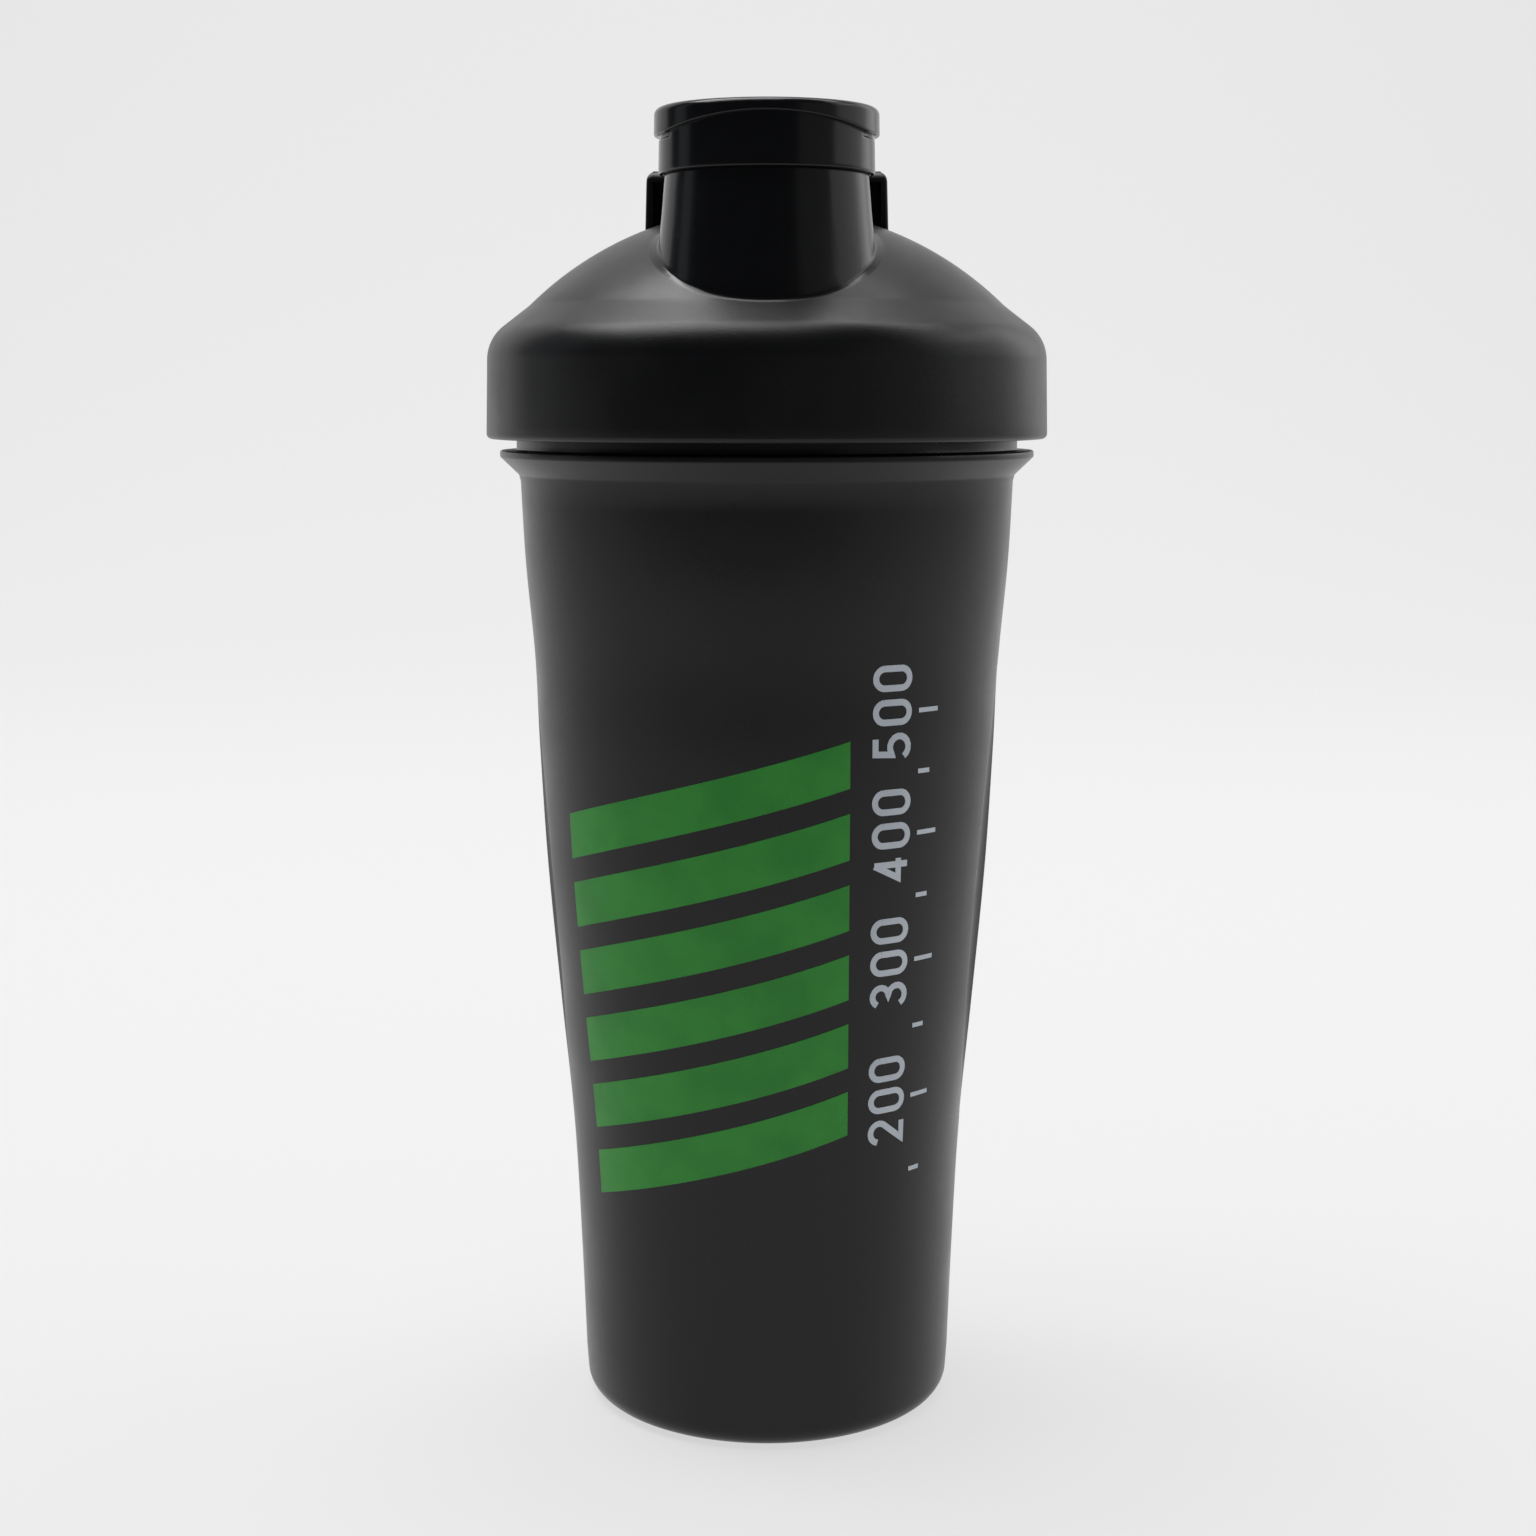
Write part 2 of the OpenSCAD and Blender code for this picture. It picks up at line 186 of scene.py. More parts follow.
def curve_through(knots, x):
    """Cubic through the knots, whose slope at each knot is that of the line joining its neighbours."""
    kx, ky = knots[:, 0], knots[:, 1]
    low, high = np.maximum(np.arange(len(kx)) - 1, 0), np.minimum(np.arange(len(kx)) + 1, len(kx) - 1)
    slope = (ky[high] - ky[low]) / (kx[high] - kx[low])
    i = np.clip(np.searchsorted(kx, x) - 1, 0, len(kx) - 2)
    h = kx[i + 1] - kx[i]
    u = (x - kx[i]) / h
    return (ky[i] * (2 * u**3 - 3 * u**2 + 1) + slope[i] * h * (u**3 - 2 * u**2 + u)
            + ky[i + 1] * (3 * u**2 - 2 * u**3) + slope[i + 1] * h * (u**3 - u**2))


def smooth_step(low, high, x):
    """0 below low, 1 above high and 3t^2 - 2t^3 between."""
    t = np.clip((x - low) / (high - low), 0, 1)
    return t * t * (3 - 2 * t)


# ---------------------------------------------------------------- forms shared by several pieces
def body_radius(z):
    """Outer radius of the cup's body at a height, before the grips."""
    return BASE_R + (MOUTH_R - BASE_R) * curve_through(TAPER, np.clip(z / BODY_H, 0, 1))


def flute_depth(angle, z):
    """How deep the side grips go in at an angle in radians and a height.

    Each grip is an ellipse on the wall with two upright ribs. Between two edges that are 2h apart a
    flute is k (h^2 - x^2) deep, the cut of a cutter of one radius, so it fades out as the edges meet.
    """
    side = np.degrees((angle + math.radians(GRIP_TURN) + np.pi / 2) % np.pi - np.pi / 2)
    x = np.abs(side)
    edge = GRIP_ANGLE * np.sqrt(np.clip(1 - ((z - GRIP_Z) / GRIP_HALF) ** 2, 0, 1))
    rib = np.minimum(RIB_ANGLE, edge)
    k = FLUTE_DEPTH / RIB_ANGLE**2
    middle = np.where(x < rib, rib**2 - x**2, 0)
    centre, half = (edge + RIB_ANGLE) / 2, np.maximum(edge - RIB_ANGLE, 0) / 2
    outer = np.where((x >= RIB_ANGLE) & (x < edge), half**2 - (x - centre) ** 2, 0) * 1.25
    return k * (middle + np.maximum(outer, 0))


def cup_radius(angle, z):
    """Outer radius of the cup's body with its grips."""
    return body_radius(z) - flute_depth(angle, z)


def on_cup(angle, z, proud):
    """Points on the cup's wall, raised by proud. The angle 0 faces the front and grows to the right."""
    turned = angle - np.pi / 2
    r = cup_radius(turned, z) + proud
    return np.stack([r * np.cos(turned), r * np.sin(turned), z + 0 * r], -1)


def thread_height(angle, z, low, high, phase):
    """Height of the helical ridges: a trapezoid about z = low + lead * turns, faded at both ends."""
    turns = (high - low) / LEAD
    height = np.zeros(np.broadcast(angle, z).shape)
    for start in range(STARTS):
        for lap in (0, 1):
            t = ((angle - phase) / TURN - start / STARTS) % 1 + lap
            away = np.abs(z - low - LEAD * t)
            flank = 1 - smooth_step(0.5, 1.15, away)
            fade = smooth_step(0, 0.1, t) * (1 - smooth_step(turns - 0.1, turns, t))
            height = np.maximum(height, RIDGE_H * flank * fade)
    return height


def dome_height(r, thinned=0.0):
    """Height of the dome's sphere at a distance from the bottle's axis."""
    return DOME_Z + np.sqrt((DOME_R - thinned) ** 2 - r**2)


def cover_height(r):
    """Height of the lid's top: the dome inside the crease, and a straight band outside it that falls less.

    Within half a millimetre of the crease a parabola joins the two slopes.
    """
    band = CREASE_Z - (r - CREASE_R) * math.tan(BAND_FALL)
    height = np.where(r < CREASE_R, dome_height(np.minimum(r, CREASE_R)), band)
    dome_slope = CREASE_R / (CREASE_Z - DOME_Z)
    reach = 0.5
    near = np.maximum(reach - np.abs(r - CREASE_R), 0)
    return height + (dome_slope - math.tan(BAND_FALL)) * near**2 / (4 * reach)


# ---------------------------------------------------------------- shader maths
class Wire:
    """A node's output socket. Arithmetic on it adds Math nodes."""

    def __init__(self, finish, socket):
        self.finish, self.socket = finish, socket

    def math(self, operation, *values):
        return self.finish.node("ShaderNodeMath", {"operation": operation}, dict(enumerate(values)))

    def __add__(self, other):
        return self.math("ADD", self, other)

    def __sub__(self, other):
        return self.math("SUBTRACT", self, other)

    def __rsub__(self, other):
        return self.math("SUBTRACT", other, self)

    def __mul__(self, other):
        return self.math("MULTIPLY", self, other)

    __radd__ = __add__
    __rmul__ = __mul__


class Finish:
    """One material: a Principled shader and the nodes that feed it."""

    def __init__(self, name, **constants):
        self.material = bpy.data.materials.new(name)
        self.material.use_nodes = True
        self.tree = self.material.node_tree
        self.shader = self.tree.nodes["Principled BSDF"]
        for socket, value in constants.items():
            self.shader.inputs[socket.replace("_", " ")].default_value = value
        self.place = self.node("ShaderNodeTexCoord", {}, {}, out="Object")

    def node(self, kind, settings, sockets, out=0):
        """A node of one type with its settings made first and its sockets set or linked, by index or name."""
        made = self.tree.nodes.new(kind)
        for key, value in settings.items():
            setattr(made, key, value)
        for key, value in sockets.items():
            if isinstance(value, Wire):
                self.tree.links.new(value.socket, made.inputs[key])
            else:
                made.inputs[key].default_value = value
        return Wire(self, made.outputs[out])

    def noise(self, size, detail=2.0, stretch=(1, 1, 1)):
        """Noise from 0 to 1 with features of about size millimetres, squeezed along each axis by stretch."""
        place = self.node("ShaderNodeMapping", {}, {"Vector": self.place, "Scale": stretch})
        sockets = {"Vector": place, "Scale": 1 / (size * MM), "Detail": detail}
        return self.node("ShaderNodeTexNoise", {}, sockets)

    def ramp(self, value, low, high):
        """0 where value is low, 1 where it is high, smooth between."""
        smooth = {"interpolation_type": "SMOOTHSTEP"}
        return self.node("ShaderNodeMapRange", smooth, {0: value, 1: low, 2: high})

    def mix(self, amount, first, second):
        """A colour between two, each a colour or a wire."""
        return self.node("ShaderNodeMix", {"data_type": "RGBA"}, {0: amount, 6: first, 7: second}, out=2)

    def bump(self, height, distance, over=None):
        """A normal from a height map whose full range is distance millimetres, over another normal."""
        under = {} if over is None else {"Normal": over}
        return self.node("ShaderNodeBump", {}, {"Distance": distance * MM, "Height": height, **under})

    def from_axis(self, y):
        """Distance in millimetres from an upright axis at (0, y)."""
        away = self.node("ShaderNodeVectorMath", {"operation": "MULTIPLY_ADD"},
                         {0: self.place, 1: (1 / MM, 1 / MM, 0), 2: (0, -y, 0)})
        return self.node("ShaderNodeVectorMath", {"operation": "LENGTH"}, {0: away}, out="Value")

    def feed(self, **sockets):
        """Links wires to the shader's sockets."""
        for socket, wire in sockets.items():
            self.tree.links.new(wire.socket, self.shader.inputs[socket.replace("_", " ")])
        return self.material


def moulded_plastic(name, dark, light, rough, grain, grain_depth, spread=0.08, polished=None, shine=0.3):
    """Dark moulded plastic: slow drifts of colour and polish, fine grain and rare hairline scratches.

    polished takes the finish and gives a mask of where the mould was polished: glossy, with no grain.
    """
    finish = Finish(name, Specular_IOR_Level=shine)
    matte = 1.0 if polished is None else 1 - polished(finish)
    drift = finish.noise(18, 3)
    fine = finish.noise(grain, 3)
    streak = finish.ramp(finish.noise(0.35, 2, (1, 1, 0.02)), 0.68, 0.78)
    shade = finish.mix(finish.ramp(drift * 0.7 + fine * 0.3, 0.35, 0.65), dark, light)
    polish = finish.ramp(drift, 0.3, 0.7) * spread + fine * (spread * 0.6) + streak * 0.06
    floor = matte * (rough - 0.2) + 0.2 if polished else rough
    flow = drift if polished is None else drift + finish.noise(2.6, 2, (1, 1, 0.1)) * (1 - matte) * 0.6
    ripple = finish.bump(flow, 0.05)
    height = finish.bump(fine * matte + streak * 0.25, grain_depth, over=ripple)
    return finish.feed(Base_Color=shade, Roughness=polish + floor - spread * 0.8, Normal=height)


def ink(name, dark, light, rough):
    """Screen-printed ink: a slightly uneven coat with fine pinholes of wear."""
    finish = Finish(name, Specular_IOR_Level=0.3)
    patch = finish.noise(9, 4)
    fine = finish.noise(0.35, 3)
    shade = finish.mix(finish.ramp(patch * 0.75 + fine * 0.25, 0.32, 0.68), dark, light)
    return finish.feed(Base_Color=shade, Roughness=finish.ramp(fine, 0.2, 0.8) * 0.1 + rough,
                       Normal=finish.bump(fine, 0.012))


def colour(r, g, b):
    """A linear colour from display values of 0 to 255."""
    c = np.array([r, g, b]) / 255
    return (*np.where(c <= 0.04045, c / 12.92, ((c + 0.055) / 1.055) ** 2.4), 1.0)


def spout_mask(finish):
    """1 on the spout, whose mould was polished, and 0 on the rest of the lid."""
    return 1 - finish.ramp(finish.from_axis(-SPOUT_Y), SPOUT_FOOT_R + 0.1, SPOUT_FOOT_R + 0.9)


CUP_PLASTIC = moulded_plastic("cup_plastic", colour(18, 17, 18), colour(23, 21, 22), 0.30, 0.30, 0.007)
LID_PLASTIC = moulded_plastic("lid_plastic", colour(10, 10, 11), colour(13, 13, 14), 0.33, 0.22, 0.028,
                              polished=spout_mask)
CAP_PLASTIC = moulded_plastic("cap_plastic", colour(10, 10, 12), colour(13, 13, 15), 0.20, 0.50, 0.003, 0.05)
GRID_PLASTIC = moulded_plastic("grid_plastic", colour(30, 30, 32), colour(37, 37, 40), 0.38, 0.35, 0.008)
PIN_PLASTIC = moulded_plastic("pin_plastic", colour(24, 24, 27), colour(31, 31, 34), 0.28, 0.30, 0.005)
SEAL_SILICONE = moulded_plastic("seal_silicone", colour(142, 145, 148), colour(156, 158, 160),
                                0.55, 0.40, 0.008)
GREEN_INK = ink("green_ink", colour(40, 134, 43), colour(50, 148, 50), 0.38)
GREY_INK = ink("grey_ink", colour(190, 198, 206), colour(203, 210, 217), 0.45)


# ---------------------------------------------------------------- cup
def cup_angles(cols_grip=110, cols_rest=90):
    """Angles round the cup, closer together across the two grips."""
    half = math.radians(GRIP_ANGLE + 3)
    grip = np.linspace(-half, half, cols_grip, endpoint=False)
    rest = np.linspace(half, np.pi - half, cols_rest, endpoint=False)
    turn = np.concatenate([grip, rest])
    return np.concatenate([turn, turn + np.pi]) - math.radians(GRIP_TURN)


def cup_outline():
    """The cup's section, from the middle of the underside round the rim to the middle of the floor."""
    foot_r = BASE_R - HEEL_R
    body = np.concatenate([np.linspace(HEEL_R, 48, 12)[1:], np.linspace(48, 140, 74)[1:],
                           np.linspace(140, BODY_H - 0.8, 8)[1:]])
    inside = np.concatenate([np.linspace(BODY_H, 140, 5), np.linspace(140, 48, 20)[1:],
                             np.linspace(48, FOOT_H + FLOOR_T + 4, 6)[1:]])
    floor_z = FOOT_H + FLOOR_T
    lip_z = COLLAR_TOP - COLLAR_LIP
    return chain(
        line((3, FOOT_H), (foot_r - 3.4, FOOT_H), 3),
        arc(foot_r - 1.6, 0.5, 0.5, 200, 270, 3),
        arc(foot_r, HEEL_R, HEEL_R, -90, 0, 8),
        np.stack([body_radius(body), body], -1),
        arc(MOUTH_R + 1.0, BODY_H - 0.2, 0.85, 180, 135, 3),
        arc(COLLAR_R - 0.35, lip_z + 0.15, 0.35, -45, 0, 3),
        arc(COLLAR_R - 0.35, COLLAR_TOP - 0.35, 0.35, 0, 90, 4),
        arc(NECK_R + 0.3, COLLAR_TOP + 0.3, 0.3, 270, 180, 3),
        line((NECK_R, COLLAR_TOP + 1), (NECK_R, RIM_Z - 0.7), 72),
        arc(NECK_R - 0.7, RIM_Z - 0.7, 0.7, 0, 90, 4),
        arc(NECK_IN + 0.6, RIM_Z - 0.6, 0.6, 90, 180, 3),
        line((NECK_IN, RIM_Z - 1), (NECK_IN, COLLAR_TOP), 2),
        np.stack([body_radius(inside) - WALL, inside], -1),
        arc(BASE_R - WALL - 3, floor_z + 3, 3, 0, -90, 5),
        line((BASE_R - WALL - 4, floor_z), (3, floor_z), 3))


def build_cup():
    """The outline turned about Z, less the flutes outside and inside, plus the neck's thread."""
    r, z = cup_outline().T[:, :, None]
    angle = cup_angles()[None, :]
    on_wall = ((z > HEEL_R) & (z < BODY_H - 0.1)) & (r > body_radius(z) - WALL - 0.1)
    radius = r - flute_depth(angle, z) * on_wall
    outside = np.arange(len(r))[:, None] < np.argmax(z)
    neck = outside & (z > COLLAR_TOP + 0.9) & (z < RIM_Z - 0.6)
    radius = radius + neck * thread_height(angle, z, THREAD_LOW, THREAD_HIGH, 0)
    points = np.stack([radius * np.cos(angle), radius * np.sin(angle), z + 0 * radius], -1)
    cup = make_piece("cup_shell", points, CUP_PLASTIC, "cup", sharp=80,
                     poles=((0, 0, FOOT_H), (0, 0, FOOT_H + FLOOR_T)))
    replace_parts(cup, "cup")


# ---------------------------------------------------------------- print on the cup
# How proud printed ink stands of the wall, and how deep its border is tucked in.
INK_PROUD, INK_TUCK = 0.07, -0.12


def film(u, v, height=INK_PROUD):
    """How proud a coat of ink stands over its patch: level, and tucked into the wall along its border."""
    inner = (u > 0.001) & (u < 0.999) & (v > 0.001) & (v < 0.999)
    return np.where(inner, height, INK_TUCK)


def patch_grid(n, m):
    """Two parameters from 0 to 1 on a grid, with a close pair of lines along each border."""
    def spread(k):
        """k even steps from 0 to 1, with a second line close to each end."""
        inner = np.linspace(0.004, 0.996, k)
        return np.concatenate([[0], inner, [1]])
    return np.meshgrid(spread(n), spread(m), indexing="ij")


def build_print():
    """Slanted bars that wrap the front of the cup, ending on one upright line at the right."""
    low, high, bars = 42.0, 130.0, 6
    rise, gap = 15.0, 4.2
    pitch = (high - low - rise) / bars
    u, v = patch_grid(70, 8)
    left = math.radians(-57.5)
    for bar in range(bars):
        z = low + bar * pitch + rise * u + v * (pitch - gap)
        right = np.arcsin(13.9 / body_radius(z))
        angle = left + (right - left) * u
        points = on_cup(angle, z, film(u, v))
        piece = make_piece(f"print_bar_{bar + 1}", points, GREEN_INK, "cup", wrap_cols=False)


# Each numeral is a list of strokes in a cell one unit high, and STROKE is their width in the same unit.
NUMERAL_W, STROKE = 0.5, 0.17
NUMERALS = {
    "0": [chain(arc(0.25, 0.75, 0.25, 0, 180, 12), arc(0.25, 0.25, 0.25, 180, 360, 12), (0.5, 0.75))],
    "1": [chain((0.08, 0.78), (0.32, 1), (0.32, 0))],
    "2": [chain(arc(0.25, 0.74, 0.26, 170, -35, 12), (0, 0), (0.5, 0))],
    "3": [chain(arc(0.24, 0.76, 0.24, 155, -90, 12), arc(0.24, 0.26, 0.26, 90, -155, 12))],
    "4": [chain((0.52, 0.28), (0, 0.28), (0.36, 1)), chain((0.36, 1), (0.36, 0))],
    "5": [chain((0.46, 1), (0.07, 1), (0.04, 0.52), arc(0.23, 0.3, 0.28, 125, -150, 12))],
}


def ribbon(path, width):
    """A flat stroke (points, 2 sides + tucked borders, 2) along a path, with mitred corners.

    Each point moves along the mean of its two neighbours' normals, longer where the path turns.
    """
    step = np.diff(path, axis=0)
    normal = np.stack([-step[:, 1], step[:, 0]], -1) / np.linalg.norm(step, axis=1)[:, None]
    ahead, behind = np.vstack([normal, normal[-1:]]), np.vstack([normal[:1], normal])
    mean = (ahead + behind) / np.linalg.norm(ahead + behind, axis=1)[:, None]
    reach = width / 2 / np.maximum((mean * ahead).sum(1), 0.5)
    across = np.array([-1, -0.98, 0, 0.98, 1])
    return path[:, None] + mean[:, None] * (reach[:, None] * across)[..., None]


def fill_level(millilitres):
    """Height at which the cup holds a volume: its inner section's area summed up from the floor."""
    z = np.linspace(FOOT_H + FLOOR_T, BODY_H, 2000)
    volume = np.cumsum(np.pi * (body_radius(z) - WALL) ** 2) * (z[1] - z[0]) / 1000
    return np.interp(millilitres, volume, z)


def build_scale():
    """A volume scale right of the bars: a tick every 50 ml and upright-running numerals every 100 ml."""
    start, size, gap = 18.6, 6.6, 1.3
    tick_from, long_tick, short_tick, tick_w = 27.3, 4.4, 2.6, 0.8
    patches = []

    def lay(flat, level):
        """Puts points (up the cup, leftwards from the numerals' feet) on the wall about a level."""
        z = level + flat[..., 0]
        arc_length = start + size - flat[..., 1]
        height = np.full(flat.shape[:2], INK_PROUD)
        height[:, [0, -1]] = INK_TUCK
        patches.append(on_cup(arc_length / body_radius(z), z, height))

    for amount in range(150, 501, 50):
        level = float(fill_level(amount))
        reach = long_tick if amount % 100 == 0 else short_tick
        foot = start + size - tick_from
        lay(ribbon(line((0, foot), (0, foot - reach), 4), tick_w), level)
        if amount % 100:
            continue
        text = str(amount)
        advance = NUMERAL_W * size + gap + STROKE * size
        length = advance * (len(text) - 1) + NUMERAL_W * size
        for place, digit in enumerate(text):
            for stroke in NUMERALS[digit]:
                fine = np.vstack([line(a, b, 3)[:-1] for a, b in zip(stroke, stroke[1:])] + [stroke[-1:]])
                lay(ribbon(fine * size, STROKE * size) + (place * advance - length / 2, 0), level)
    scale = make_patches("print_scale", [p[:, ::-1] for p in patches], GREY_INK, "cup")


build_cup()
build_print()
build_scale()


# ---------------------------------------------------------------- lid
def reach_to(r, direction):
    """How far rays from the spout's axis run to the circle of radius r about the bottle's axis."""
    return SPOUT_Y * np.sin(direction) + np.sqrt(r**2 - (SPOUT_Y * np.cos(direction)) ** 2)


def ring_about_spout(r, direction):
    """Plan points at a distance r from the spout's axis."""
    return r * np.cos(direction), r * np.sin(direction) - SPOUT_Y


def ring_about_lid(r, direction):
    """Plan points where rays from the spout's axis cross the circle of radius r about the bottle's axis."""
    return ring_about_spout(reach_to(r, direction), direction)


def spout_radius(z):
    """Outer radius of the spout: widest at its flared foot, drawing in towards the rim."""
    knots = np.array([[CAP_Z - 24, SPOUT_FOOT_R], [CAP_Z - 20, SPOUT_FOOT_R], [CAP_Z - 18, 18.9],
                      [CAP_Z - 16, 18.5], [CAP_Z - 13, SPOUT_LOW_R], [CAP_Z - 6, 17.35],
                      [CAP_Z, SPOUT_R], [SPOUT_Z, RIM_R]])
    return curve_through(knots, z)


def lid_rows(direction):
    """The lid as one closed loop of rings, each an array (columns, 3).

    The rings run up the bore, over the spout's rim, down its wall, out over the dome and the shoulder,
    down the skirt, up inside it with the thread, round the plug ring and back under the dome.
    """
    rows = []

    def add(plan, z):
        """Adds a ring from its X and Y and its height."""
        x, y = plan
        rows.append(np.stack([x, y, z + 0 * x], -1))

    bore_foot = SPOUT_LOW_R - SPOUT_T - 0.4

    def bore_radius(z):
        """Radius of the spout's bore, wider at its foot."""
        return np.interp(z, [CAP_Z - 13, SPOUT_Z - 2], [bore_foot, RIM_R - SPOUT_T])

    x, y = ring_about_spout(bore_foot, direction)
    start = dome_height(np.hypot(x, y), DOME_T)
    for t in np.linspace(0, 1, 14):
        z = start + (SPOUT_Z - 0.4 - start) * t
        add(ring_about_spout(bore_radius(z), direction), z)
    for r, z in arc(RIM_R - SPOUT_T + 0.35, SPOUT_Z - 0.35, 0.35, 180, 90, 3):
        add(ring_about_spout(r, direction), z)
    for r, z in arc(RIM_R - 0.5, SPOUT_Z - 0.5, 0.5, 90, 5, 4):
        add(ring_about_spout(r, direction), z)

    fillet = 0.6
    r = np.full_like(direction, SPOUT_FOOT_R)
    for _ in range(8):
        foot = cover_height(np.hypot(*ring_about_spout(r, direction)))
        r = spout_radius(foot + fillet)
    for t in np.linspace(0, 1, 26):
        z = SPOUT_Z - 0.9 + (foot + fillet - SPOUT_Z + 0.9) * t
        add(ring_about_spout(spout_radius(z), direction), z)
    for a in np.radians(np.linspace(18, 90, 5)):
        plan = ring_about_spout(r + fillet * (1 - np.cos(a)), direction)
        add(plan, cover_height(np.hypot(*plan)) + fillet * (1 - np.sin(a)))

    foot_reach = r + fillet
    crease_reach = np.maximum(reach_to(CREASE_R, direction), foot_reach + 0.4)
    band_reach = reach_to(BAND_R, direction)
    spans = [(foot_reach, crease_reach, np.sin(np.linspace(0, np.pi / 2, 26)[1:])),
             (crease_reach, band_reach, np.linspace(0, 1, 7)[1:-1] ** 1.4)]
    for start_reach, end_reach, shares in spans:
        for t in shares:
            plan = ring_about_spout(start_reach + (end_reach - start_reach) * t, direction)
            add(plan, cover_height(np.hypot(*plan)))

    for r, z in lid_outline():
        x, y = ring_about_lid(r, direction)
        if SKIRT_IN - 0.01 < r < SKIRT_IN + 0.01 and z < CEILING_Z - 0.5:
            ridge = thread_height(np.arctan2(y, x), z, THREAD_LOW, THREAD_HIGH, TURN / 4)
            x, y = x * (1 - ridge / r), y * (1 - ridge / r)
        add((x, y), z)

    outer_x, outer_y = ring_about_lid(PLUG_IN, direction)
    inner_x, inner_y = ring_about_spout(bore_foot, direction)
    for t in np.linspace(0, 1, 16)[:-1]:
        x, y = outer_x + (inner_x - outer_x) * t, outer_y + (inner_y - outer_y) * t
        add((x, y), dome_height(np.hypot(x, y), DOME_T))
    return np.array(rows)


def lid_outline():
    """The lid's section from the shoulder outwards, down the skirt and back up to the plug ring."""
    shoulder_z = cover_height(BAND_R) - SHOULDER_R * math.cos(BAND_FALL)
    return chain(
        arc(SHOULDER_X, shoulder_z, SHOULDER_R, 90 - math.degrees(BAND_FALL), 0, 18),
        line((LID_R - 0.3, shoulder_z), (LID_R, LID_Z + 0.9), 8),
        arc(LID_R - 0.9, LID_Z + 0.9, 0.9, 0, -80, 6),
        line((SKIRT_IN + 0.5, LID_Z), (SKIRT_IN, LID_Z + 0.5)),
        line((SKIRT_IN, LID_Z + 0.6), (SKIRT_IN, CEILING_Z - 0.2), 34),
        (SKIRT_IN - 0.3, CEILING_Z), (PLUG_R, CEILING_Z),
        line((PLUG_R, PLUG_Z + 1), (PLUG_R - 0.6, PLUG_Z)),
        (PLUG_IN, PLUG_Z), (PLUG_IN, PLUG_Z + 1))


def build_lid():
    """The lid's rings on rays from the spout's axis, joined into one closed skin."""
    direction = np.linspace(0, TURN, 440, endpoint=False)
    lid = make_piece("lid_shell", lid_rows(direction)[:, ::-1], LID_PLASTIC, "lid", wrap_rows=True)
    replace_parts(lid, "lid")
    return lid


build_lid()


def build_ears():
    """Two upright ears: stacked rings of a rounded rectangle, drawn in at the top, cored from the front."""
    base_z = dome_height(np.hypot(EAR_W, HINGE_Y)) - 3
    inner, front, back = STRAP_W + 0.5, HINGE_Y - 8.5, HINGE_Y + 5.5
    core_in, core_out = inner + 1.3, EAR_W - 1.1
    core_low, core_high, core_depth = dome_height(EAR_W) + 0.4, EAR_TOP - 2.0, 4.6
    wall = np.concatenate([np.linspace(base_z, core_low, 4), [core_low + 0.02],
                           np.linspace(core_low + 1, core_high - 0.3, 10), [core_high, core_high + 0.02]])
    crown = EAR_TOP - 1.4 + 1.4 * np.sin(np.radians(np.linspace(0, 90, 8)))
    z = np.concatenate([wall, crown])[:, None]

    def corner_cut(radius):
        """How far a corner of that radius has drawn in at height z below the ear's top."""
        over = np.clip(z - (EAR_TOP - radius), 0, radius)
        return radius - np.sqrt(radius**2 - over**2)

    outer = EAR_W + 0.4 * (EAR_TOP - z) / (EAR_TOP - base_z) - corner_cut(1.8)
    left, near, far = inner + corner_cut(0.5), front + corner_cut(2.0), back - corner_cut(4.0)
    bend, top_middle = 0.55, 18.5
    spots = []
    for cx, cy, a0 in ((1, 0, -90), (1, 1, 0), (0, 1, 90), (0, 0, 180)):
        for a in np.radians(np.linspace(a0, a0 + 90, 6)):
            x = np.where(cx, outer - bend, left + bend) + bend * np.cos(a)
            y = np.where(cy, far - bend, near + bend) + bend * np.sin(a)
            spots.append((x + 0 * z, y + 0 * z))
    in_core = (z > core_low + 0.01) & (z < core_high + 0.01)
    for x, cored in ((core_in - 0.02, False), (core_in, True), ((core_in + core_out) / 2, True),
                     (core_out, True), (core_out + 0.02, False)):
        spots.append((x + 0 * z, near + core_depth * (in_core & cored)))
    x = np.concatenate([s[0] for s in spots], 1)
    y = np.concatenate([s[1] for s in spots], 1)
    points = np.stack([x, y, z + 0 * x], -1)
    for name, side in (("hinge_ear_right", 1), ("hinge_ear_left", -1)):
        turned = points * (side, 1, 1)
        ear = make_piece(name, turned[:, ::side], LID_PLASTIC, "lid",
                         poles=((side * (inner + EAR_W) / 2, HINGE_Y, base_z),
                                (side * top_middle, HINGE_Y, EAR_TOP)))


build_ears()


